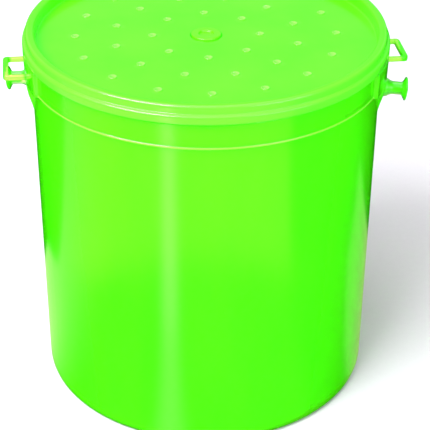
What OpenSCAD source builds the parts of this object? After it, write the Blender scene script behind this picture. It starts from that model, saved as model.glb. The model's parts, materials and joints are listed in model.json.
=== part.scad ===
// Pheromone insect trap: a round pail with a press-on lid full of small holes.
// A slotted cage hangs in a sunk seat in the middle of the lid and holds the rubber lure.
// Two headed pegs and two flat loops on the pail's collar take a hanging wire or cord.
// Millimetres. +Z is up, and the pail stands on z = 0 with its axis on X = Y = 0.
// The left ear is the right ear turned half way round the axis.

/* [Tub] */
// Outer radius of the wall at the base
wall_r = 71.0; // [60:0.5:85]
// How much wider the wall is at the collar than at the base
wall_draft = 0.9; // [0.4:0.1:2]
// Wall thickness
wall_t = 1.4; // [1.2:0.1:1.8]
// Floor thickness
floor_t = 1.6; // [1.2:0.1:2.4]
// Height of the floor's middle above the foot ring
floor_lift = 0.8; // [0.4:0.1:1.5]
// Radius of the rounded corner at the base
base_corner = 4.0; // [3:0.5:6]
// Height at which the collar begins
collar_z = 142.7; // [120:0.1:180]
// Height of the collar
collar_h = 10.5; // [9.5:0.5:14]
// How far the collar stands out from the wall
collar_step = 1.1; // [0.8:0.1:1.6]
// Thickness of the thin rim above the collar
rim_t = 1.0; // [0.8:0.1:1.2]
// Height of the thin rim above the collar
rim_h = 5.6; // [5:0.2:8]

/* [Lid] */
// Clearance between the lid and the tub's rim, on each side
fit_gap = 0.3; // [0.2:0.05:0.5]
// Thickness of the lid's two rim walls
lid_wall = 1.1; // [0.9:0.1:1.4]
// How far the lower bead stands out from the skirt
bead_out = 1.3; // [0.6:0.1:2]
// Height of the lower bead
bead_h = 3.8; // [3:0.2:4.4]
// Thickness of the rim's top, above the tub's rim
bridge_t = 2.0; // [1.6:0.1:2.6]
// Depth of the panel below the top of the rim
panel_depth = 5.1; // [4:0.1:6.5]
// Thickness of the panel
panel_t = 1.4; // [1:0.1:1.8]
// How far the inner rim wall reaches below the panel
plug_reach = 3.0; // [1.5:0.5:6]

/* [Vent holes] */
// Diameter of each vent hole
vent_d = 2.5; // [2:0.1:3.5]
// Width of the raised lip round each hole
lip_w = 0.6; // [0.4:0.1:0.8]
// Height of the raised lip
lip_h = 0.4; // [0.2:0.1:0.8]

/* [Pegs] */
// Direction of the right peg, in degrees from +X towards +Y
peg_turn = -3; // [-6:1:0]
// Height of the peg's axis below the start of the collar
peg_drop = 7.7; // [6.5:0.1:8.5]
// How far the pegs droop, in degrees
peg_droop = 4; // [0:1:6]
// Diameter of the peg's stem
stem_d = 5.4; // [4:0.1:6.5]
// Diameter of the peg's head
head_d = 9.8; // [8:0.1:10.4]
// Free length of the stem, from the ear to the head
stem_len = 6.4; // [5:0.2:10]
// Thickness of the peg's head, with its slope
head_t = 2.5; // [2:0.1:3.5]

/* [Loops] */
// Direction of the middle of the right loop, in degrees from +X towards +Y
loop_turn = 6.9; // [5:0.1:9]
// Length of the loop along the rim
loop_len = 18.9; // [14:0.1:20]
// How far the loop reaches out from the ear
loop_reach = 8.4; // [8:0.1:12]
// Width and height of the loop's two side bars
side_bar = 2.0; // [1.4:0.1:2.4]
// Width of the loop's outer bar
outer_bar_w = 2.3; // [1.8:0.1:2.8]
// Height of the loop's outer bar
outer_bar_h = 2.5; // [2:0.1:3]

/* [Lure] */
// Inner radius of the cage
cage_bore = 4.2; // [4.1:0.1:4.8]
// Wall thickness of the cage
cage_wall = 0.8; // [0.7:0.1:1]
// How far the cage hangs below its flange
cage_len = 36.8; // [32:0.2:60]
// Number of slots round the cage
cage_slots = 6; // [4:1:8]
// Length of the rubber septum
septum_len = 18.0; // [14:0.5:20]

/* [Hidden] */
$fn = 180;
over = 0.01;            // small overlap that joins two solids of one moulding
green = [0.36, 0.96, 0.12, 0.8];
pale_green = [0.55, 0.98, 0.30];

// Tub levels and radii
rim_out = 0.4;          // how far the thin rim stands out from the top of the wall
bevel = 0.3;            // small bevel on the collar's edges
inner_slope = 1;        // height of each slope inside the collar
wall_top_r = wall_r + wall_draft;
collar_r = wall_top_r + collar_step;
rim_r = wall_top_r + rim_out;
collar_top = collar_z + collar_h;
rim_top = collar_top + rim_h;
foot_w = 6;             // width of the ring that the pail stands on
foot_r = wall_r - base_corner;
arc_steps = 6;          // points in a quarter circle of a profile

// Lid levels and radii
stop_gap = 0.6;         // height of the gap over the collar, and of the one over the thin rim
bead_round = 0.9;       // rounding of the lower bead
bead_slope = 0.5;       // height of the slope above the bead
wall_lean = 0.4;        // how much the panel's edge and the inner rim wall taper
plug_r = rim_r - rim_t - fit_gap;
dish_r = plug_r - lid_wall;
channel_r = rim_r + fit_gap;
skirt_r = channel_r + lid_wall;
bead_r = skirt_r + bead_out;
skirt_z = collar_top + stop_gap;
channel_z = rim_top + stop_gap;
lid_top = channel_z + bridge_t;
panel_z = lid_top - panel_depth;
edge_round = 1.4;       // rounding of the rim's top edges

// Each ring of vent holes: its radius, how many holes, and the first one's angle
vent_rings = [[22, 8, 2.5], [38, 12, 17.5], [53.5, 16, 2.5]];

// Ear: a long thin plate round the collar, with a deeper lug in its middle
ear_out = 2;            // how far the plate stands out from the collar
ear_r = collar_r + ear_out;
ear_half_angle = 24.5;
ear_draft = 0.3;        // how much the plate's face leans in, top to bottom
ear_bevel = 0.4;
ear_root = 0.5;         // how far the plate's root goes into the collar
lug_half_angle = 11.5;
lug_drop = 5.2;         // how far the lug's full thickness runs below the collar
lug_draft = 0.4;        // how much the lug's face leans in below the collar
lug_foot = 14.0;        // how far below the collar the lug's slope meets the wall
peg_z = collar_z - peg_drop;
peg_root = 1.2;         // how far the stem widens where it leaves the ear
peg_root_l = 2;         // length over which it widens
head_slope = 1.2;       // length of the slope under the head
head_round = 0.7;       // length of the head's rounded edge
dome_w = 1.8;           // width of the head's dome
loop_rise = 2.6;        // height of the loop above the start of the collar
loop_z = collar_z + loop_rise;
loop_root = 1.8;        // how far the loop's side bars go into the ear
loop_corner = 1.0;

// Lure holder levels and radii
cage_r = cage_bore + cage_wall;
flange_w = 1.2;         // how far the flange stands out from the cage
flange_r = cage_r + flange_w;
flange_t = 0.9;
cage_gap = 0.2;         // gap between faces that rest on each other
seat_depth = 1.8;       // how far the lid's seat is sunk below the panel
seat_wall = 1.5;        // wall round the seat, under the panel
seat_z = panel_z - seat_depth;
flange_z = seat_z + cage_gap;
cage_hole_r = cage_r + fit_gap;
seat_r = flange_r + fit_gap;
cage_floor_t = 0.8;
slot_w = 1.8;
slot_margin = 6;        // plain wall left above and below the slots
cap_z = flange_z + flange_t + cage_gap;
cap_t = 1.3;
cap_dimple_r = 2.9;
cap_dimple = 0.9;
cap_plug = 4.0;         // how far the cap's plug goes into the cage
cap_plug_r = cage_bore - fit_gap;
soft_edge = 0.5;        // bevel on the cap and on the rubber septum
septum_neck_r = 2.5;
septum_skirt_r = 3.6;
septum_neck = 8.5;      // length of the narrow end
septum_web = 2;         // rubber left between the hollow and the step
socket_gap = 0.05;
socket_roof = 1.2;      // how far the socket ends below the cap's underside
septum_top = cap_z - socket_roof;

// Points of an arc, centred at [x, y], from angle a to angle b
function arc(x, y, r, a, b) =
    [for (i = [0 : arc_steps]) let (t = a + (b - a) * i / arc_steps) [x + r * cos(t), y + r * sin(t)]];

// Turns what follows round the axis, once for each ear
module each_ear() {
    for (turn = [0, 180]) rotate([0, 0, turn]) children();
}

// A ring of the outline given by its children, over an arc centred on +X
module ring_sector(half_angle) {
    rotate([0, 0, -half_angle]) rotate_extrude(angle = 2 * half_angle) children();
}

module tub_outline() {
    inner_r = wall_r - wall_t;
    inner_corner = base_corner - wall_t;
    floor_top = floor_lift + floor_t;
    polygon(concat(
        [[0, floor_lift], [foot_r - foot_w - floor_lift, floor_lift], [foot_r - foot_w, 0]],
        arc(foot_r, base_corner, base_corner, -90, 0),
        [[wall_top_r, collar_z], [collar_r, collar_z + bevel], [collar_r, collar_top - bevel],
         [collar_r - bevel, collar_top], [rim_r, collar_top]],
        arc(rim_r - rim_t / 2, rim_top - rim_t / 2, rim_t / 2, 0, 180),
        [[rim_r - rim_t, collar_top - inner_slope], [collar_r - wall_t, collar_top - 2 * inner_slope],
         [collar_r - wall_t, collar_z + wall_t + inner_slope / 2],
         [wall_top_r - wall_t, collar_z + wall_t - inner_slope / 2]],
        arc(inner_r - inner_corner, floor_top + inner_corner, inner_corner, 0, -90),
        [[0, floor_top]]
    ));
}

module ear_outline() {
    polygon([[collar_r - ear_root, collar_z], [ear_r - ear_draft, collar_z], [ear_r, collar_top - ear_bevel],
             [ear_r - ear_bevel, collar_top], [collar_r - ear_root, collar_top]]);
}

module lug_outline() {
    root_r = wall_top_r - wall_t / 2;
    face_r = ear_r - ear_draft;
    polygon([[root_r, collar_z + over], [face_r, collar_z + over],
             [face_r - lug_draft, collar_z - lug_drop], [root_r, collar_z - lug_foot]]);
}

// The peg's outline, with its own axis upright: root, stem, slope and domed head
module peg_outline() {
    root_r = stem_d / 2 + peg_root;
    head_r = head_d / 2;
    head_base = stem_len + ear_r - wall_top_r;
    peg_top = head_base + head_t;
    root_top = ear_r - wall_top_r;
    polygon([[0, -wall_t / 2], [root_r, -wall_t / 2], [root_r, root_top],
             [stem_d / 2 + peg_root / 3, root_top + peg_root_l * 0.4], [stem_d / 2, root_top + peg_root_l],
             [stem_d / 2, head_base], [head_r, head_base + head_slope], [head_r, peg_top - head_round],
             [head_r - dome_w * 0.3, peg_top - head_round * 0.3], [head_r - dome_w, peg_top], [0, peg_top]]);
}

module peg() {
    rotate([0, 0, peg_turn]) translate([wall_top_r, 0, peg_z]) rotate([0, 90 + peg_droop, 0])
        rotate_extrude() peg_outline();
}

// A bar of the loop, with round outer corners, seen from above
module outer_bar_plan() {
    x0 = ear_r + loop_reach - outer_bar_w;
    y0 = loop_len / 2;
    translate([x0, -y0 + loop_corner]) square([outer_bar_w, loop_len - 2 * loop_corner]);
    translate([x0, -y0]) square([outer_bar_w - loop_corner, loop_len]);
    for (side = [-1, 1])
        translate([x0 + outer_bar_w - loop_corner, side * (y0 - loop_corner)]) circle(loop_corner, $fn = 32);
}

module loop() {
    bar_start = ear_r - loop_root;
    rotate([0, 0, loop_turn]) translate([0, 0, loop_z]) {
        translate([0, 0, -outer_bar_h / 2]) linear_extrude(outer_bar_h) outer_bar_plan();
        for (side = [-1, 1])
            translate([bar_start, side * (loop_len - side_bar) / 2 - side_bar / 2, -side_bar / 2])
                cube([ear_r + loop_reach - outer_bar_w / 2 - bar_start, side_bar, side_bar]);
    }
}

// The pail, with its collar, ears, pegs and loops in one moulding
module tub() {
    color(green) {
        rotate_extrude() tub_outline();
        each_ear() {
            ring_sector(ear_half_angle) ear_outline();
            ring_sector(lug_half_angle) lug_outline();
            peg();
            loop();
        }
    }
}

// Rim and panel of the lid, from the bottom of the skirt round to the middle
module lid_outline() {
    under_z = panel_z - panel_t;
    polygon(concat(
        [[channel_r, skirt_z]],
        arc(bead_r - bead_round, skirt_z + bead_round, bead_round, -90, 0),
        arc(bead_r - bead_round, skirt_z + bead_h - bead_round, bead_round, 0, 60),
        [[skirt_r, skirt_z + bead_h + bead_slope]],
        arc(skirt_r - edge_round, lid_top - edge_round, edge_round, 0, 90),
        arc(dish_r + edge_round, lid_top - edge_round, edge_round, 90, 180),
        [[dish_r, panel_z], [0, panel_z], [0, under_z], [dish_r - wall_lean, under_z],
         [dish_r - wall_lean, under_z - plug_reach], [plug_r - wall_lean, under_z - plug_reach],
         [plug_r, under_z - plug_reach + 2 * wall_lean], [plug_r, channel_z], [channel_r, channel_z]]
    ));
}

module at_each_vent() {
    for (ring = vent_rings, i = [0 : ring[1] - 1])
        rotate([0, 0, ring[2] + i * 360 / ring[1]]) translate([ring[0], 0, panel_z]) children();
}

// The press-on lid. The tub's rim stands in the channel of its rim
module lid() {
    color(green) difference() {
        union() {
            rotate_extrude() lid_outline();
            translate([0, 0, seat_z - panel_t]) cylinder(r = seat_r + seat_wall, h = seat_depth + over);
            at_each_vent() translate([0, 0, -over])
                cylinder(r1 = vent_d / 2 + lip_w, r2 = vent_d / 2 + lip_w / 2, h = lip_h + over, $fn = 32);
        }
        at_each_vent() translate([0, 0, -panel_t - 1])
            cylinder(d = vent_d, h = panel_t + lip_h + 2, $fn = 32);
        translate([0, 0, seat_z]) cylinder(r = seat_r, h = seat_depth + 1);
        translate([0, 0, seat_z - panel_t - 1]) cylinder(r = cage_hole_r, h = panel_t + 2);
    }
}

// The basket that hangs through the lid. Its slots let the scent out
module lure_cage() {
    bottom = flange_z - cage_len;
    slot_h = cage_len - 2 * slot_margin;
    color(pale_green) difference() {
        union() {
            translate([0, 0, bottom]) cylinder(r = cage_r, h = cage_len + over);
            translate([0, 0, flange_z]) cylinder(r = flange_r, h = flange_t);
        }
        translate([0, 0, bottom + cage_floor_t]) cylinder(r = cage_bore, h = cage_len + flange_t + 1);
        translate([0, 0, bottom - 1]) cylinder(r = cage_bore / 4, h = cage_floor_t + 2);
        for (i = [0 : cage_slots - 1]) rotate([0, 0, i * 360 / cage_slots])
            translate([cage_bore / 2, -slot_w / 2, bottom + slot_margin]) cube([cage_r, slot_w, slot_h]);
    }
}

// The plug that closes the cage and grips the septum's neck
module cage_cap() {
    color(pale_green) difference() {
        rotate_extrude() polygon([[0, cap_z - cap_plug], [cap_plug_r - soft_edge, cap_z - cap_plug],
            [cap_plug_r, cap_z - cap_plug + soft_edge], [cap_plug_r, cap_z], [flange_r, cap_z],
            [flange_r, cap_z + cap_t - soft_edge], [flange_r - soft_edge, cap_z + cap_t],
            [0, cap_z + cap_t]]);
        translate([0, 0, cap_z + cap_t - cap_dimple]) cylinder(r = cap_dimple_r, h = cap_dimple + 1);
        translate([0, 0, cap_z - cap_plug - 1])
            cylinder(r = septum_neck_r + socket_gap, h = septum_top + socket_gap - cap_z + cap_plug + 1);
    }
}

// The rubber sleeve that carries the pheromone
module lure_septum() {
    bottom = septum_top - septum_len;
    step = septum_top - septum_neck;
    color([0.78, 0.30, 0.22]) difference() {
        rotate_extrude() polygon([[0, bottom], [septum_skirt_r - soft_edge, bottom],
            [septum_skirt_r, bottom + soft_edge], [septum_skirt_r, step - soft_edge],
            [septum_skirt_r - soft_edge, step], [septum_neck_r, step], [septum_neck_r, septum_top - bevel],
            [septum_neck_r - bevel, septum_top], [0, septum_top]]);
        translate([0, 0, bottom - 1])
            cylinder(r = septum_neck_r, h = septum_len - septum_neck - septum_web + 1);
    }
}

tub();
lid();
lure_cage();
cage_cap();
lure_septum();
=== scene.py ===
# %% [markdown]
# # A pheromone insect trap, made in Blender around its CAD frame
# The trap is a round pail of translucent green polypropylene with a press-on lid. A slotted cage hangs
# through the middle of the lid and holds a rubber lure. Two headed pegs and two flat loops stand out from
# the collar, where a hanging wire or cord goes. The CAD model settles the sizes and every motion. This
# file makes the surfaces that the eye sees, and it never moves a CAD part.

import json
import math

import bmesh
import bpy
import numpy as np
from mathutils import Matrix, Vector


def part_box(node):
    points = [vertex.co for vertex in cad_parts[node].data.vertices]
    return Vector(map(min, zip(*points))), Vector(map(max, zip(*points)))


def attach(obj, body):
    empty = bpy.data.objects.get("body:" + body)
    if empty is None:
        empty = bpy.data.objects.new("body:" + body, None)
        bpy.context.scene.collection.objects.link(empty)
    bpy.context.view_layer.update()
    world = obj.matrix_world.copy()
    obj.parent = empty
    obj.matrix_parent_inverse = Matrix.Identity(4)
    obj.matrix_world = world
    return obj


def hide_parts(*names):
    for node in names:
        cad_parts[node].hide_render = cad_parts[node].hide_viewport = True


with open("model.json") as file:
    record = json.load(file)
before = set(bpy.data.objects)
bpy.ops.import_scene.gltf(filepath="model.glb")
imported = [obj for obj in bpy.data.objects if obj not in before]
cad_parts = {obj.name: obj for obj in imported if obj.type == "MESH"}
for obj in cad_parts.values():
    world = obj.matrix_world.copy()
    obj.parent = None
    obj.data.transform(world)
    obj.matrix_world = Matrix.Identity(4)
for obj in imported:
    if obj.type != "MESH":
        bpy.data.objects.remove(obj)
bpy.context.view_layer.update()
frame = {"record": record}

# %% [markdown]
# ## Sizes
# Blender works in metres, but a moulder thinks in millimetres. So shapes are written in millimetres here,
# and the one function that builds a mesh turns them into metres. The main sizes are read from the boxes of
# the CAD nodes, and the smaller ones follow the same drawing.

# %% Main sizes, in millimetres
MM = 0.001


def box_mm(node):
    """Lowest and highest corner of a CAD node, in millimetres."""
    low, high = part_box(node)
    return np.array(low) / MM, np.array(high) / MM


tub_high = box_mm("tub")[1]
lid_high = box_mm("lid")[1]
cage_low, cage_high = box_mm("lure_cage")
cap_low, cap_high = box_mm("cage_cap")
septum_low, septum_high = box_mm("lure_septum")

collar_r = tub_high[1]
rim_top = tub_high[2]
lid_r = lid_high[1]
lid_top = lid_high[2]
print(f"collar radius {collar_r:.1f}, lid radius {lid_r:.1f}, height {lid_top:.1f} mm")

# %% [markdown]
# ## Turning outlines into skins
# Nearly every piece of the trap is a body of revolution, because the mould for it is turned on a lathe. Its
# outline is a handful of points with rounded corners. Two functions make that outline, one spins it into a
# grid of points, and one turns any grid into a closed mesh. All of them work on whole arrays.

# %% Outlines
def rounded(points, cuts, closed=False, steps=7):
    """An outline with soft corners. Each corner becomes a curve that starts one cut before it and ends one
    cut after it: (1-t)^2 times the start, plus 2t(1-t) times the corner, plus t^2 times the end, for t from
    0 to 1."""
    points = np.array(points, float)
    cuts = np.array(cuts, float)[:, None]
    before = np.roll(points, 1, 0) - points
    after = np.roll(points, -1, 0) - points
    before /= np.linalg.norm(before, axis=1, keepdims=True)
    after /= np.linalg.norm(after, axis=1, keepdims=True)
    t = np.linspace(0, 1, steps)[None, :, None]
    start = (points + before * cuts)[:, None]
    end = (points + after * cuts)[:, None]
    curve = ((1 - t) ** 2 * start + 2 * t * (1 - t) * points[:, None] + t ** 2 * end).reshape(-1, 2)
    if closed:
        curve = np.vstack([curve, curve[:1]])
    keep = np.r_[True, np.linalg.norm(np.diff(curve, axis=0), axis=1) > 1e-6]
    return curve[keep]


def filled_in(curve, longest):
    """The same outline with extra points, so that no stretch is longer than the given length. Distance
    along the outline is the parameter, and new points are read off it by straight-line interpolation."""
    along = np.r_[0, np.cumsum(np.linalg.norm(np.diff(curve, axis=0), axis=1))]
    extra = np.arange(0, along[-1], longest)
    gap = np.abs(extra[:, None] - along[None, :]).min(1)
    stations = np.sort(np.r_[along, extra[gap > longest * 0.4]])
    return np.stack([np.interp(stations, along, curve[:, k]) for k in range(curve.shape[1])], 1)


def spun(outline, turns):
    """Grid of points of an outline (radius, height) spun round the Z axis: x = radius cos a, y = radius sin
    a. Rows follow the outline and columns follow the angle, given in degrees. The radius may differ for
    each angle."""
    radius, height = outline[..., 0], outline[..., 1]
    if radius.ndim == 1:
        radius, height = radius[:, None], height[:, None]
    a = np.radians(turns)[None, :]
    return np.stack(np.broadcast_arrays(radius * np.cos(a), radius * np.sin(a), height), -1)


# %% Grids to meshes
def grid_faces(rows, columns):
    """Four-cornered faces between neighbouring grid points, with the last column joined to the first."""
    i, j = np.meshgrid(np.arange(rows - 1), np.arange(columns), indexing="ij")
    k = (j + 1) % columns
    corners = [i * columns + j, i * columns + k, (i + 1) * columns + k, (i + 1) * columns + j]
    return np.stack(corners, -1).reshape(-1, 4)


def placed(name, mesh):
    """A mesh as an object in the scene, at the origin."""
    piece = bpy.data.objects.new(name, mesh)
    bpy.context.scene.collection.objects.link(piece)
    return piece


def mesh_from(name, points, faces, merge=0.004):
    """A Blender object from points in millimetres and a list of faces. Points closer than the merge
    distance become one, which closes seams and poles, and all faces are turned to point outwards."""
    mesh = bpy.data.meshes.new(name)
    mesh.from_pydata(points.reshape(-1, 3) * MM, [], [list(face) for face in faces])
    work = bmesh.new()
    work.from_mesh(mesh)
    bmesh.ops.remove_doubles(work, verts=work.verts, dist=merge * MM)
    bmesh.ops.recalc_face_normals(work, faces=work.faces)
    work.to_mesh(mesh)
    work.free()
    return placed(name, mesh)


def lathe(name, outline, turns=np.arange(0, 360, 2.0)):
    """A closed piece spun from an outline that either starts and ends on the axis, or closes on itself."""
    grid = spun(outline, turns)
    return mesh_from(name, grid, grid_faces(grid.shape[0], grid.shape[1]))


# %% [markdown]
# ## Joining what is moulded together
# The pail, its ears, pegs and loops come out of one mould, so they have to be one skin with nothing inside
# it. Where two skins cross, a boolean joins them or cuts one with the other, and the result is written back
# as a mesh.

# %% Joining and cutting
def merged(piece, tool, how):
    """The piece with the tool joined to it ("UNION") or cut away from it ("DIFFERENCE"), as one closed
    mesh."""
    step = piece.modifiers.new(how, "BOOLEAN")
    step.operation = how
    step.object = tool
    step.solver = "MANIFOLD"
    seen = piece.evaluated_get(bpy.context.evaluated_depsgraph_get())
    mesh = bpy.data.meshes.new_from_object(seen)
    piece.modifiers.clear()
    piece.data = mesh
    bpy.data.objects.remove(tool)
    return piece


def soft_shaded(piece, sharp_above=40):
    """Smooth shading, with a crisp edge wherever two faces meet at more than the given angle in degrees."""
    piece.data.shade_smooth()
    piece.data.set_sharp_from_angle(angle=math.radians(sharp_above))
    return piece


# %% [markdown]
# ## The pail
# A pail is moulded upside down over a core. Its wall leans out a little, so that it slides off. Near the
# top the wall steps outwards into a collar, which stiffens the mouth and stops stacked pails from jamming.
# The ears are long thin plates on that collar, each with a deeper lug in the middle. In the grid they need
# no extra mesh: an ear is a place where the outside of the spun wall stands further out, so its radius
# depends on angle and on height.
#
# One detail is finer than the drawing: a ridge a third of a millimetre high along the collar's lower edge,
# which catches the light as a bright line, and that line is helped by a painted highlight further down. The
# ridge stays well inside the trap's overall size.

# %% The pail's outline
wall_top_r = collar_r - 1.1
wall_r = wall_top_r - 0.9
wall_t = 1.4
rim_r = wall_top_r + 0.4
rim_t = 1.0
collar_top = rim_top - 5.6
collar_z = collar_top - 10.5
floor_lift = 0.8
floor_top = floor_lift + 1.6
foot_r = wall_r - 4.0

outside = [(0, 0.55), (2.2, 0.55), (3.0, floor_lift), (foot_r - 6.8, floor_lift), (foot_r - 6.0, 0),
           (wall_r, 0), (wall_top_r, collar_z), (collar_r + 0.35, collar_z + 0.1),
           (collar_r + 0.35, collar_z + 0.9), (collar_r, collar_z + 1.1), (collar_r, collar_top),
           (rim_r, collar_top), (rim_r, rim_top), (rim_r - rim_t, rim_top)]
inside = [(rim_r - rim_t, collar_top - 1), (collar_r - wall_t, collar_top - 2),
          (collar_r - wall_t, collar_z + 2.0), (wall_top_r - wall_t, collar_z + 0.9),
          (wall_r - wall_t, floor_top), (0, floor_top)]
outside_cuts = [0, 0.3, 0.4, 0.3, 0.3, 4.0, 0.3, 0.38, 0.38, 0.1, 0.4, 0.25, 0.45, 0.45]
inside_cuts = [0.4, 0.6, 0.8, 0.8, 3.0, 0]
tub_outline = filled_in(rounded(outside + inside, outside_cuts + inside_cuts), 3.6)
print("pail outline:", len(tub_outline), "points")

# %% How the ears stand out
ear_r = collar_r + 2.0
plate_half = 24.5
lug_half = 11.5
lug_heights = [collar_z - 14.0, collar_z - 12.6, collar_z - 6.0, collar_z - 4.6, collar_z, collar_top]
lug_radii = [wall_top_r, wall_top_r + 0.3, ear_r - 0.85, ear_r - 0.65, ear_r - 0.3, ear_r]


def window(angle, half, soft):
    """1 within half degrees of an ear's middle and 0 beyond, with a smooth step 3t^2 - 2t^3 across the
    edge."""
    t = np.clip((half + soft / 2 - np.abs(angle)) / soft, 0, 1)
    return 3 * t ** 2 - 2 * t ** 3


def ear_columns():
    """Angles in degrees for the pail's grid: every degree and a half, and closer together at the ears'
    edges."""
    edges = np.array([-plate_half, -lug_half, lug_half, plate_half])
    close = (edges[:, None] + np.linspace(-0.55, 0.55, 11)[None, :]).ravel()
    every = np.r_[np.arange(0, 360, 1.5), close % 360, (close + 180) % 360]
    return np.unique(np.round(every, 3))


def tub_grid():
    """The pail's points. The spun radius is pushed out to the plate's face or the lug's face, whichever is
    further, times how far inside that ear's edges the point lies."""
    turns = ear_columns()
    radius = tub_outline[:, :1]
    height = tub_outline[:, 1:]
    on_outside = np.arange(len(tub_outline))[:, None] < np.argmax(tub_outline[:, 1])
    from_ear = (turns[None, :] + 90) % 180 - 90
    face = np.interp(height, [collar_z, collar_top], [ear_r - 0.3, ear_r])
    root = np.where(height > collar_z + 5, rim_r, wall_top_r)
    stretch = np.clip((radius - root) / (collar_r - root), 0, 1)
    plate = root + stretch * (face - root)
    in_plate = on_outside & (height > collar_z - 0.5) & (height < collar_top + 0.05)
    plate_push = np.where(in_plate, plate - radius, 0) * window(from_ear, plate_half, 0.9)
    lug = np.interp(height, lug_heights, lug_radii)
    in_lug = on_outside & (height > collar_z - 14) & (height < collar_top - 0.6)
    lug_push = np.where(in_lug, lug - radius, 0) * window(from_ear, lug_half, 1.0)
    pushed = radius + np.maximum(0, np.maximum(plate_push, lug_push))
    outline = np.stack([pushed, np.broadcast_to(height, pushed.shape)], -1)
    return spun(outline, turns)


tub_points = tub_grid()
tub = mesh_from("pail", tub_points, grid_faces(*tub_points.shape[:2]))
print("pail skin:", len(tub.data.polygons), "faces")

# %% [markdown]
# ## Pegs
# Each peg is a short stem with a domed head, like a mushroom, so that a wire eye snaps over it and stays
# on. The stem swells where it leaves the lug, because a sharp inner corner would crack. A peg droops a few
# degrees. It is spun round its own axis and then laid along the direction that the frame's mount gives.

# %% Pegs
mounts = {m["name"]: m for m in frame["record"]["mounts"]}


def laid_along(points, start, direction):
    """Points of a piece made along +Z, turned so that +Z lies along the direction, and moved to the
    start."""
    turn = np.array(Vector((0, 0, 1)).rotation_difference(Vector(direction)).to_matrix())
    return points @ turn.T + np.array(start)


def peg_outline(stem_r=2.7, head_r=4.9, free=6.4, root=3.1, head=2.5):
    """Radius and height of a peg above the pail's wall: root, stem, the slope under the head, and its
    dome."""
    neck = root + free
    points = [(0, -0.7), (stem_r + 1.3, -0.7), (stem_r + 1.2, root - 0.1), (stem_r, root + 1.9),
              (stem_r, neck), (head_r, neck + 1.2), (head_r, neck + head - 0.6), (0, neck + head + 0.15)]
    return rounded(points, [0, 0.1, 0.8, 1.2, 0.5, 0.5, 0.7, 0], steps=8)


def add_peg(side):
    """Joins the peg of one side to the pail."""
    mount = mounts["peg_" + side]
    axis = np.array(mount["axis"])
    outward = np.array([axis[0], axis[1], 0]) / np.hypot(axis[0], axis[1])
    foot = np.array([0, 0, collar_z - 7.7]) + outward * wall_top_r
    grid = spun(filled_in(peg_outline(), 0.9), np.arange(0, 360, 7.5))
    points = laid_along(grid, foot, axis)
    merged(tub, mesh_from("peg_" + side, points, grid_faces(*grid.shape[:2])), "UNION")


for side in ("right", "left"):
    add_peg(side)
print("pail with pegs:", len(tub.data.polygons), "faces")

# %% [markdown]
# ## Loops
# Each loop is a flat staple of round-cornered bar, with both legs growing out of the ear. It is a profile
# carried along a path: the path runs out, across and back, and the profile grows a little on the outer bar,
# which carries the load.

# %% Loops
def carried(path, side, width, height, corners=24, boxy=4.0):
    """Grid of a soft-cornered profile carried along a flat path. Round the profile the point is width/2 *
    |cos a|^(2/boxy) across the path and height/2 * |sin a|^(2/boxy) up, with their signs, so a boxy of 2 is
    an ellipse and a larger one is closer to a rectangle."""
    a = np.arange(corners) * 2 * np.pi / corners
    across = np.sign(np.cos(a)) * np.abs(np.cos(a)) ** (2 / boxy) / 2
    up = np.sign(np.sin(a)) * np.abs(np.sin(a)) ** (2 / boxy) / 2
    flat = path[:, None, :] + side[:, None, :] * (across[None, :] * width[:, None])[..., None]
    return np.concatenate([flat, (up[None, :] * height[:, None])[..., None]], -1)


def loop_path(reach=8.4, length=18.9, bar=2.0, outer=2.3):
    """Middle line of the loop, and its sideways direction, in the loop's own plane: x outwards and y along
    the rim. Also the profile's width and height at each point of the line."""
    x = ear_r + reach - outer / 2
    y = (length - bar) / 2
    line = rounded([(ear_r - 1.6, -y), (x, -y), (x, y), (ear_r - 1.6, y)], [0, 1.5, 1.5, 0], steps=9)
    line = filled_in(line, 0.9)
    ahead = np.gradient(line, axis=0)
    ahead /= np.linalg.norm(ahead, axis=1, keepdims=True)
    sideways = np.stack([ahead[:, 1], -ahead[:, 0]], 1)
    on_outer = np.clip((line[:, 0] - (x - 1.5)) / 1.5, 0, 1)
    return line, sideways, bar + (outer - bar) * on_outer, bar + 0.5 * on_outer


def add_loop(side):
    """Joins the loop of one side to the pail."""
    centre = np.array(mounts["loop_" + side]["pos_m"]) / MM
    turn = math.atan2(centre[1], centre[0])
    c, s = math.cos(turn), math.sin(turn)
    grid = carried(*loop_path())
    points = grid @ np.array([[c, s, 0], [-s, c, 0], [0, 0, 1]]) + np.array([0, 0, centre[2]])
    rows, corners = grid.shape[:2]
    ends = [list(range(corners)), list(range((rows - 1) * corners, rows * corners))]
    faces = grid_faces(rows, corners).tolist() + ends
    merged(tub, mesh_from("loop_" + side, points, faces), "UNION")


for side in ("right", "left"):
    add_loop(side)
soft_shaded(tub, 50)
print("pail with loops:", len(tub.data.polygons), "faces")

# %% [markdown]
# ## Where the pail has painted highlights
# Light gets through thin bars of dyed plastic more easily than through a wall, so the loops' bars are
# painted paler, a painted glow, and the sharp edge under the collar gets a painted highlight. Each point of
# the mesh stores how much painted highlight it has, from 0 to 1. A number stored in the mesh stays with the
# shape, so the material needs no picture.

# %% Painted highlights on the loops' bars and on the edge under the collar
def points_mm(mesh):
    """Every point of a mesh, in millimetres."""
    place = np.empty(len(mesh.vertices) * 3)
    mesh.vertices.foreach_get("co", place)
    return place.reshape(-1, 3) / MM


def store_painted_highlight(mesh, values):
    """Stores how much painted highlight each point has, from 0 to 1, as paleness for its material to read.
    """
    mesh.attributes.new("pale", "FLOAT", "POINT").data.foreach_set("value", values)


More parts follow.
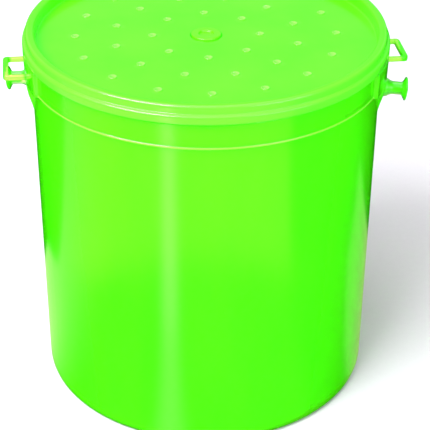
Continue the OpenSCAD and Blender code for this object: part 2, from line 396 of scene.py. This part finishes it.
def pail_painted_highlight(place):
    """Painted highlight at each point: 1 on the loops' side bars, 0.7 on the ridge at the collar's lower
    edge, and 0 elsewhere.
    """
    reach, height = np.hypot(place[:, 0], place[:, 1]), place[:, 2]
    on_bars = (height > collar_z + 1.2) & (reach > ear_r + 0.3) & (np.abs(place[:, 0]) < reach.max() - 3)
    at_edge = (height > collar_z + 0.05) & (height < collar_z + 1.0)
    on_ridge = at_edge & (np.abs(reach - collar_r - 0.2) < 0.25)
    return np.where(on_bars, 1.0, np.where(on_ridge, 0.7, 0.0))


# Painted glow on the loops' bars and painted highlight on the collar's ridge, stored for the material.
pail_highlight_amount = pail_painted_highlight(points_mm(tub.data))
store_painted_highlight(tub.data, pail_highlight_amount)
print("pale points on the pail:", int((pail_highlight_amount > 0).sum()), "of", len(pail_highlight_amount))

# %% [markdown]
# ## The lid
# The lid presses on. Its rim is a channel that swallows the pail's thin rim: an outer skirt that ends in a
# fat bead, a round top, and an inner wall that goes down to the sunk panel and a little past it. The middle
# has a bore for the lure cage. Each vent hole is pierced through a low round pip, which makes it strong and
# easy to see. The pips are painted paler than the panel, a painted highlight on each, and the outer skirt
# gets a weaker painted sheen.

# %% The lid's skin
fit_gap = 0.3
plug_r = rim_r - rim_t - fit_gap
dish_r = plug_r - 1.1
channel_r = rim_r + fit_gap
skirt_r = channel_r + 1.1
skirt_z = collar_top + 0.6
channel_z = rim_top + 0.6
panel_z = lid_top - 5.1
panel_t = 1.4
seat_z = panel_z - 1.8
seat_r = cage_high[0] + fit_gap
boss_r = seat_r + 1.5
bore_r = cage_high[0] - 1.2 + fit_gap

lid_points = [(seat_r, panel_z), (dish_r, panel_z), (dish_r, lid_top), (skirt_r, lid_top),
              (skirt_r, skirt_z + 4.1), (lid_r, skirt_z + 3.7), (lid_r, skirt_z), (channel_r, skirt_z),
              (channel_r, channel_z), (plug_r, channel_z), (plug_r, panel_z - 4.4),
              (dish_r - 0.4, panel_z - 4.4), (dish_r - 0.4, panel_z - panel_t),
              (boss_r, panel_z - panel_t), (boss_r, seat_z - panel_t), (bore_r, seat_z - panel_t),
              (bore_r, seat_z), (seat_r, seat_z)]
lid_cuts = [0.35, 0.9, 1.5, 1.6, 0.4, 0.9, 1.0, 0.2, 0.3, 0.3, 0.5, 0.2, 0.5, 0.5, 0.4, 0.15, 0.15, 0.2]
lid_outline = filled_in(rounded(lid_points, lid_cuts, closed=True, steps=9), 3.0)
lid = lathe("vented_lid", lid_outline, np.arange(0, 360, 1.5))
print("lid skin:", len(lid.data.polygons), "faces")

# %% Vent pips and holes
vent_rings = [(22.0, 8, 2.5), (38.0, 12, 17.5), (53.5, 16, 2.5)]


def vent_centres():
    """Centres of all vents on the panel: each ring shares its holes out evenly, from its first hole's
    angle."""
    rings = []
    for ring_r, count, first in vent_rings:
        a = np.radians(first + np.arange(count) * 360 / count)
        rings.append(np.stack([ring_r * np.cos(a), ring_r * np.sin(a), np.full(count, panel_z)], 1))
    return np.vstack(rings)


def at_vents(name, outline, columns=20):
    """One mesh with a copy of a small spun shape at every vent."""
    grid = spun(outline, np.arange(columns) * 360 / columns)
    centres = vent_centres()
    points = grid.reshape(1, -1, 3) + centres[:, None, :]
    faces = grid_faces(grid.shape[0], columns)
    every = faces[None] + np.arange(len(centres))[:, None, None] * grid.shape[0] * columns
    return mesh_from(name, points, every.reshape(-1, 4))


pip = rounded([(0, -0.6), (1.95, -0.6), (1.75, 0.42), (0, 0.42)], [0, 0.1, 0.3, 0], steps=5)
drill = rounded([(0, -2.6), (1.15, -2.6), (1.15, -0.5), (1.6, 0.9), (0, 0.9)], [0, 0, 0.2, 0, 0], steps=4)
merged(lid, at_vents("vent_pips", pip), "UNION")
merged(lid, at_vents("vent_drills", drill), "DIFFERENCE")
soft_shaded(lid, 35)


def vent_pip_highlight(place, solid=1.4, gone=1.95):
    """Painted highlight on the vent pips at each point: 1 up to a solid radius from the nearest vent's
    axis, and 0 beyond a second radius, with a smooth step between them. Points far below the panel stay 0."""
    away = np.full(len(place), 99.0)
    for x, y, _ in vent_centres():
        away = np.minimum(away, np.hypot(place[:, 0] - x, place[:, 1] - y))
    t = np.clip((gone - away) / (gone - solid), 0, 1)
    return np.where(place[:, 2] > panel_z - 0.9, t * t * (3 - 2 * t), 0)


place = points_mm(lid.data)
reach = np.hypot(place[:, 0], place[:, 1])
skirt_with_painted_sheen = reach > reach.max() - 2.2
# Painted highlight on the lid: full on the vent pips, and a weak painted sheen of 0.2 on the outer skirt.
store_painted_highlight(lid.data, np.maximum(vent_pip_highlight(place), 0.2 * skirt_with_painted_sheen))
print("lid with vents:", len(lid.data.polygons), "faces")

# %% [markdown]
# ## The lure holder
# The pheromone sits in a rubber sleeve, the septum, which gives it off slowly for weeks. The septum's neck
# is pushed into a socket under the cap, and the cap plugs a slotted cage. The cage keeps insects off the
# lure and lets the scent out. All three are spun, and the slots are cut through the cage's wall with round-
# ended cutters.

# %% Cage, cap and septum
cage_r = cage_high[0] - 1.2
cage_bore = cage_r - 0.8
flange_r = cage_high[0]
flange_z = cage_high[2] - 0.9
cage_points = [(1.05, cage_low[2]), (cage_r, cage_low[2]), (cage_r, flange_z), (flange_r, flange_z),
               (flange_r, cage_high[2]), (cage_bore, cage_high[2]), (cage_bore, cage_low[2] + 0.8),
               (1.05, cage_low[2] + 0.8)]
cage_cuts = [0.1, 0.7, 0.15, 0.25, 0.3, 0.2, 0.4, 0.1]
cage_outline = filled_in(rounded(cage_points, cage_cuts, closed=True), 2.0)
cage = lathe("cage", cage_outline, np.arange(0, 360, 4.0))


def slot_cutters(count=6, width=1.8, margin=6.0):
    """Round-ended bars that point outwards from the axis, one for each slot. The round ends are half
    circles in the plane of the wall, at the slot's top and bottom."""
    low, high = cage_low[2] + margin + width / 2, flange_z - margin - width / 2
    a = np.linspace(0, np.pi, 9)
    half = np.stack([np.cos(a), np.sin(a)], 1) * width / 2
    ring = np.vstack([half + [0, high], -half + [0, low]])
    near = np.column_stack([np.full(len(ring), cage_bore / 2), ring])
    far = np.column_stack([np.full(len(ring), cage_r + 2), ring])
    bar = np.vstack([near, far])
    turn = np.radians(np.arange(count) * 360 / count)
    x = bar[None, :, 0] * np.cos(turn)[:, None] - bar[None, :, 1] * np.sin(turn)[:, None]
    y = bar[None, :, 0] * np.sin(turn)[:, None] + bar[None, :, 1] * np.cos(turn)[:, None]
    points = np.stack([x, y, np.broadcast_to(bar[None, :, 2], x.shape)], -1)
    n = len(ring)
    sides = grid_faces(2, n).tolist()
    one = sides + [list(range(n)), list(range(n, 2 * n))]
    faces = [[corner + k * 2 * n for corner in face] for k in range(count) for face in one]
    return points, faces


slot_points, slot_faces = slot_cutters()
slots = mesh_from("slots", slot_points, slot_faces)
merged(cage, slots, "DIFFERENCE")
soft_shaded(cage, 35)
print("cage:", len(cage.data.polygons), "faces")

cap_r = cap_high[0]
cap_z = cap_high[2] - 1.3
plug = cage_bore - 0.3
septum_top = septum_high[2]
cap_points = [(0, septum_top + 0.05), (2.55, septum_top + 0.05), (2.55, cap_low[2]), (plug, cap_low[2]),
              (plug, cap_z), (cap_r, cap_z), (cap_r, cap_high[2]), (3.2, cap_high[2]),
              (2.8, cap_high[2] - 0.9), (0, cap_high[2] - 0.9)]
cap_outline = filled_in(rounded(cap_points, [0, 0.1, 0.2, 0.4, 0.2, 0.3, 0.6, 0.3, 0.4, 0]), 1.0)
cap = lathe("cap", cap_outline, np.arange(0, 360, 4.0))
soft_shaded(cap)

skirt = septum_high[0]
step_z = septum_top - 8.5
septum_points = [(0, septum_low[2] + 7.4), (2.4, septum_low[2] + 7.4), (2.5, septum_low[2]),
                 (skirt, septum_low[2]), (skirt, step_z), (2.5, step_z), (2.5, septum_top),
                 (0, septum_top)]
septum_outline = filled_in(rounded(septum_points, [0, 0.5, 0.3, 0.5, 0.6, 0.4, 0.35, 0]), 0.8)
septum = lathe("septum", septum_outline, np.arange(0, 360, 5.0))
soft_shaded(septum)
print("cap and septum:", len(cap.data.polygons), len(septum.data.polygons), "faces")

# %% Which CAD part each piece stands for
for piece, node, body, finish in [(tub, "tub", "tub", "green_polypropylene"),
                                  (lid, "lid", "lid", "green_polypropylene"),
                                  (cage, "lure_cage", "cage", "cage_polypropylene"),
                                  (cap, "cage_cap", "lure", "cage_polypropylene"),
                                  (septum, "lure_septum", "lure", "lure_rubber")]:
    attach(piece, body)
    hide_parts(node)

# %% [markdown]
# ## Materials
# One small function turns a hex colour into the linear numbers that light is added up in, and one adds a
# node with its settings and links.

# %% Helpers for materials
def linear(code):
    """A hex sRGB colour as linear red, green, blue and alpha."""
    parts = np.array([int(code[i:i + 2], 16) for i in (1, 3, 5)]) / 255
    return tuple(np.where(parts <= 0.04045, parts / 12.92, ((parts + 0.055) / 1.055) ** 2.4)) + (1.0,)


def add(tree, kind, settings=None, links=None):
    """One node, with options and socket values from settings, and with its inputs joined as links says."""
    node = tree.nodes.new(kind)
    for key, value in (settings or {}).items():
        if hasattr(node, key):
            setattr(node, key, value)
        else:
            node.inputs[key].default_value = value
    for key, source in (links or {}).items():
        tree.links.new(source, node.inputs[key])
    return node


def new_material(name):
    """An empty material and its node tree."""
    material = bpy.data.materials.new(name)
    material.use_nodes = True
    material.node_tree.nodes.clear()
    return material, material.node_tree


def blend(tree, amount, first, second):
    """A colour between two others, by an amount from 0 to 1. Each is a hex colour or a node's output."""
    mix = add(tree, "ShaderNodeMix", {"data_type": "RGBA"}, {"Factor": amount})
    for place, colour in [(6, first), (7, second)]:
        if isinstance(colour, str):
            mix.inputs[place].default_value = linear(colour)
        else:
            tree.links.new(colour, mix.inputs[place])
    return mix.outputs[2]


def per_mm(size):
    """Texture scale, in patterns per metre, for a pattern that repeats about every so many millimetres."""
    return 1 / (size * MM)


# %% [markdown]
# ### Translucent polypropylene
# Polypropylene is milky by nature, and this grade is dyed lime green. Light goes into the wall, spreads and
# comes out tinted, so the pail seems to glow. Moulding leaves a glossy skin with faint long flow marks
# about 30 mm apart, and a soft orange peel of about 1.6 mm that only shows in reflections. The roughness of
# the tinted skin and of the clear coat over it are set apart, so that broad light spreads and bright edges
# stay crisp.

# %% Translucent polypropylene
def polypropylene(name, deep, bright, see_through, pale=None):
    """Injection-moulded translucent polypropylene with two shades of dye, and how much light goes straight
    through. Where the mesh stores a painted highlight, it takes the pale colour, which paints that
    highlight."""
    material, tree = new_material(name)
    place = add(tree, "ShaderNodeTexCoord").outputs["Object"]
    long_way = add(tree, "ShaderNodeMapping", {"Scale": (1, 1, 0.25)}, {"Vector": place}).outputs["Vector"]
    flow = add(tree, "ShaderNodeTexNoise", {"Scale": per_mm(30), "Detail": 4.0, "Roughness": 0.55},
               {"Vector": long_way}).outputs["Fac"]
    shade = add(tree, "ShaderNodeMapRange",
                {"interpolation_type": "SMOOTHSTEP", "From Min": 0.2, "From Max": 0.8},
                {"Value": flow}).outputs["Result"]
    dyed = blend(tree, shade, deep, bright)
    gloss = add(tree, "ShaderNodeMapRange", {"To Min": 0.17, "To Max": 0.22},
                {"Value": flow}).outputs["Result"]
    peel = add(tree, "ShaderNodeTexNoise", {"Scale": per_mm(1.6), "Detail": 2.0},
               {"Vector": place}).outputs["Fac"]
    bump = add(tree, "ShaderNodeBump", {"Strength": 0.06, "Distance": 0.0004},
               {"Height": peel}).outputs["Normal"]
    # The pale colour paints the stored highlights, glow and sheen into the dye.
    if pale:
        where = add(tree, "ShaderNodeAttribute", {"attribute_name": "pale"}).outputs["Fac"]
        dyed = blend(tree, where, dyed, pale)
    skin = add(tree, "ShaderNodeBsdfPrincipled",
               {"IOR": 1.49, "Transmission Weight": see_through, "Specular IOR Level": 0.1,
                "Coat Weight": 0.5, "Coat Roughness": 0.13},
               {"Base Color": dyed, "Roughness": gloss, "Normal": bump}).outputs["BSDF"]
    add(tree, "ShaderNodeOutputMaterial", None, {"Surface": skin})
    return material


# The last colour of the pail and of the lid is the pale colour of their painted highlights.
pail_plastic = polypropylene("PP, lime translucent, injection moulded", "#44F600", "#50FA00", 0.65,
                             "#A8FA50")
inner_skin = polypropylene("PP, lime translucent, inside skin", "#C0FC90", "#CCFC9C", 0.9)
lid_plastic = polypropylene("PP, lime translucent, lid grade", "#4CF80E", "#58FC18", 0.5, "#84FC54")
cage_plastic = polypropylene("PP, pale lime, thin wall", "#56F80E", "#62FC18", 0.5)

# %% [markdown]
# ### Moulded rubber
# A septum is moulded from natural rubber. It is made matt and a little mottled here, with a chalky bloom.

# %% Moulded rubber
def moulded_rubber(name, deep, chalky):
    """Matt natural rubber with a mottled, chalky skin."""
    material, tree = new_material(name)
    place = add(tree, "ShaderNodeTexCoord").outputs["Object"]
    mottle = add(tree, "ShaderNodeTexNoise", {"Scale": per_mm(1.5), "Detail": 6.0},
                 {"Vector": place}).outputs["Fac"]
    dusty = blend(tree, mottle, deep, chalky)
    bump = add(tree, "ShaderNodeBump", {"Strength": 0.3, "Distance": 0.0002},
               {"Height": mottle}).outputs["Normal"]
    skin = add(tree, "ShaderNodeBsdfPrincipled", {"Roughness": 0.75, "IOR": 1.52, "Sheen Weight": 0.15},
               {"Base Color": dusty, "Normal": bump}).outputs["BSDF"]
    add(tree, "ShaderNodeOutputMaterial", None, {"Surface": skin})
    return material


rubber = moulded_rubber("Natural rubber, moulded", "#9C3A2A", "#C4705C")

for piece, material in [(tub, pail_plastic), (lid, lid_plastic), (cage, cage_plastic), (cap, cage_plastic),
                        (septum, rubber)]:
    piece.data.materials.clear()
    piece.data.materials.append(material)

# %% [markdown]
# ### The pail's inside skin
# Light that has entered a milky wall is spread about inside it and leaves on all sides. A plain surface
# shader knows only the skin, so it would tint the light twice, once at each face, and a moulded wall tints
# it once. Here the faces on the inside of the wall get a second material slot, with a much paler shade of
# the same plastic.

# %% The pail's inside skin
def face_values(mesh, name, width):
    """One property of every face, as an array with so many numbers a face."""
    values = np.empty(len(mesh.polygons) * width)
    mesh.polygons.foreach_get(name, values)
    return values.reshape(-1, width)


def inside_faces(mesh):
    """True for faces of the wall above the floor that look towards the axis: minus the centre's direction
    from the axis, times the normal, is more than 0.3."""
    centre, normal = face_values(mesh, "center", 3) / MM, face_values(mesh, "normal", 3)
    reach = np.hypot(centre[:, 0], centre[:, 1])
    inwards = -(centre[:, 0] * normal[:, 0] + centre[:, 1] * normal[:, 1]) / np.maximum(reach, 1e-6)
    return (inwards > 0.3) & (reach < rim_r - 0.4) & (centre[:, 2] > floor_top)


inner = inside_faces(tub.data)
tub.data.materials.append(inner_skin)
tub.data.polygons.foreach_set("material_index", inner.astype(np.int32))
print("inside skin:", int(inner.sum()), "of", len(inner), "faces")

# %% [markdown]
# ## Floor, light and camera
# The trap stands on plain paper under soft light, as in a catalogue. The key light comes from the left and
# a little in front, so the colour is lightest on the left and deepest on the right, and the shadow falls to
# the right. The paper is light grey and the lights are strong, so the open floor shows white while the
# shadow keeps its depth. The floor is hidden from the gloss, because the cards further down take its place
# there.

# %% Floor
def paper_floor(size=6.0):
    """A wide sheet of light grey paper at height 0. The lights are strong enough to show it white."""
    mesh = bpy.data.meshes.new("floor")
    h = size / 2
    mesh.from_pydata([(-h, -h, 0), (h, -h, 0), (h, h, 0), (-h, h, 0)], [], [(0, 1, 2, 3)])
    material, tree = new_material("Paper, light grey, matt")
    place = add(tree, "ShaderNodeTexCoord").outputs["Object"]
    fibre = add(tree, "ShaderNodeTexNoise", {"Scale": per_mm(3), "Detail": 3.0},
                {"Vector": place}).outputs["Fac"]
    paper = blend(tree, fibre, "#A6A2A6", "#AAA6AA")
    skin = add(tree, "ShaderNodeBsdfPrincipled", {"Roughness": 0.9}, {"Base Color": paper}).outputs["BSDF"]
    add(tree, "ShaderNodeOutputMaterial", None, {"Surface": skin})
    mesh.materials.append(material)
    return placed("floor", mesh)


floor = paper_floor()
floor.visible_glossy = False


# %% [markdown]
# ### Lit cards for the gloss
# A glossy round wall mirrors the whole room in narrow upright bands, so a photographer shapes what the
# gloss sees with cards, and lets the soft lights do the rest. These cards light nothing, and only the gloss
# sees them. One lies just over the paper, because a wall that is seen from above mirrors mostly the floor.
# The other two stand behind the trap and hang over it. They belong to the stage, so they aren't part of the
# trap.

# %% A card that only the gloss sees
def card(name, points, faces, glow):
    """A lit card that shows only in the gloss of the plastic and lights nothing. The glow is one linear
    colour for each point."""
    mesh = bpy.data.meshes.new(name)
    mesh.from_pydata(points, [], faces)
    light = mesh.attributes.new("glow", "FLOAT_COLOR", "POINT")
    light.data.foreach_set("color", np.column_stack([glow, np.ones(len(glow))]).ravel())
    material, tree = new_material(name + ", lit card")
    material.cycles.emission_sampling = "NONE"
    colour = add(tree, "ShaderNodeAttribute", {"attribute_name": "glow"}).outputs["Color"]
    lit = add(tree, "ShaderNodeEmission", {"Strength": 1.0}, {"Color": colour}).outputs["Emission"]
    add(tree, "ShaderNodeOutputMaterial", None, {"Surface": lit})
    mesh.materials.append(material)
    flat = placed(name, mesh)
    flat.visible_camera = flat.visible_diffuse = flat.visible_transmission = flat.visible_shadow = False


# %% [markdown]
# The card over the paper has four lit zones, each an inside distance put through one soft step. In front
# there is a warm patch that starts some way out. A whiter zone closes it on the left, and a small one lies
# on the right. The dark gaps between them become the dark upright bands. The narrow streak starts at the
# wall and runs out at twice the angle that it starts from, because that keeps its mirror image upright.

# %% The card over the paper
WARM, WHITE = np.array([1, 1, 0.14]), np.array([0.75, 0.75, 0.42])
SIDE, STREAK = np.array([0.45, 0.45, 0.22]), np.array([2.9, 2.9, 1.7])
streak_turn = math.radians(-12)


def edge(inside, soft):
    """0 well outside an edge and 1 well inside, with a smooth step 3t^2 - 2t^3 as wide as soft."""
    t = np.clip(inside / soft + 0.5, 0, 1)
    return t * t * (3 - 2 * t)


def streak_zone(x, y):
    """A narrow wedge from the wall outwards. Along it is the distance from its foot, and across it the
    distance from its middle line, which must be less than a half width that grows with the first."""
    foot = wall_r * np.array([math.sin(streak_turn), -math.cos(streak_turn)])
    out = np.array([math.sin(2 * streak_turn), -math.cos(2 * streak_turn)])
    along = (x - foot[0]) * out[0] + (y - foot[1]) * out[1]
    across = np.abs((x - foot[0]) * out[1] - (y - foot[1]) * out[0])
    half = 6 + 0.055 * np.maximum(along, 0)
    return edge(half - across, half * 1.8) * (along > -2) * (0.6 + 0.5 * edge(along - 80, 60))


def paper_glow(x, y):
    """Light that the gloss finds at each place of the paper, in millimetres from the pail's axis: the sum
    of the four lit zones, each its strength times its colour."""
    turn = np.degrees(np.arctan2(x, -y))
    start = 210 - 65 * np.sin(np.radians(turn * 0.8)) ** 2
    far_out = edge(np.hypot(x, y) - start, 40)
    right_end = edge((x - 165) * -0.637 + (y + 141) * -0.771, 20)
    left_end = edge(24 + 44 * edge(x + 135, 24) - y, 9)
    left = edge(-76 - turn, 44)
    front = (1 - left) * right_end * left_end * (0.1 + 1.3 * far_out)
    near_side = -25 + 0.45 * (x - 73) + 0.65 * np.maximum(x - 158, 0)
    right = edge(y - near_side, 12) * edge(93 - y, 12) * (x > 0)
    zones = [(front, WARM), (left * left_end, WHITE), (right, SIDE), (streak_zone(x, y), STREAK)]
    return sum(strength[:, None] * colour for strength, colour in zones)


def sheet_faces(rows, columns):
    """Four-cornered faces of an open grid."""
    i, j = np.meshgrid(np.arange(rows - 1), np.arange(columns - 1), indexing="ij")
    first = (i * columns + j).ravel()
    return np.stack([first, first + 1, first + columns + 1, first + columns], 1).tolist()


x, y = np.meshgrid(np.arange(-420, 361, 6.0), np.arange(-460, 131, 6.0))
paper_points = np.stack([x, y, np.full_like(x, 0.5)], -1).reshape(-1, 3) * MM
card("lit_paper", paper_points.tolist(), sheet_faces(*x.shape), paper_glow(x.ravel(), y.ravel()))
print("lit paper:", x.size, "points")

# %% The cards behind and above, in metres
behind = [(-0.9, 0.9, 0.3), (0.9, 0.9, 0.3), (0.9, 0.9, 1.2), (-0.9, 0.9, 1.2)]
above = [(-0.9, -1.3, 1.2), (0.6, -1.3, 1.2), (0.6, 0.5, 1.2), (-0.9, 0.5, 1.2)]
for name, corners, glow in [("back_card", behind, 0.35), ("sky_card", above, 1.2)]:
    card(name, corners, [(0, 1, 2, 3)], np.full((4, 3), glow))
print("cards: lit_paper, back_card and sky_card")

# %% [markdown]
# ### Lights
# The smaller key gives the crisp gleam on the lid's rim. A wide one from nearly the same place softens the
# shadow without showing in the gloss, and a weak fill keeps the right side from going dull.

# %% Light
world = bpy.data.worlds.new("studio")
bpy.context.scene.world = world
world.use_nodes = True
world.node_tree.nodes["Background"].inputs["Color"].default_value = (1, 1, 1, 1)
world.node_tree.nodes["Background"].inputs["Strength"].default_value = 0.55
world.cycles_visibility.glossy = False


def softbox(name, place, aim, size, watts, tint=(1, 1, 1)):
    """A rectangular area light at a place in metres, aimed at a point."""
    lamp = bpy.data.lights.new(name, "AREA")
    lamp.shape = "RECTANGLE"
    lamp.size, lamp.size_y = size
    lamp.energy = watts
    lamp.color = tint
    box = bpy.data.objects.new(name, lamp)
    box.location = place
    box.rotation_euler = (Vector(aim) - Vector(place)).to_track_quat("-Z", "Y").to_euler()
    box.visible_camera = False
    bpy.context.scene.collection.objects.link(box)
    return box


middle = (0, 0, 0.08)
softbox("key", (-0.68, -0.68, 1.15), middle, (0.95, 0.7), 54, (0.95, 0.98, 1.0))
wide = softbox("wide", (-0.5, -0.55, 1.25), middle, (2.0, 2.0), 64, (0.95, 0.98, 1.0))
fill = softbox("fill", (0.9, -0.9, 0.5), middle, (0.8, 0.8), 20)
fill.visible_glossy = wide.visible_glossy = False
print("lights: key, wide and fill")

# %% [markdown]
# ### Camera
# A long lens looks down on the trap from the front, at about 32 degrees, so the upright walls hardly lean
# together.

# %% Camera
camera_data = bpy.data.cameras.new("camera")
camera_data.sensor_width = 36
camera_data.lens = 124
camera = bpy.data.objects.new("camera", camera_data)
pan, pitch, roll = np.radians([-0.4275, 90 - 31.532, 0.4325])
camera.matrix_world = (Matrix.Translation((0, -0.5556, 0.4106)) @ Matrix.Rotation(pan, 4, "Z")
                       @ Matrix.Rotation(pitch, 4, "X") @ Matrix.Rotation(roll, 4, "Z"))
bpy.context.scene.collection.objects.link(camera)
bpy.context.scene.camera = camera
bpy.context.scene.view_settings.view_transform = "Standard"
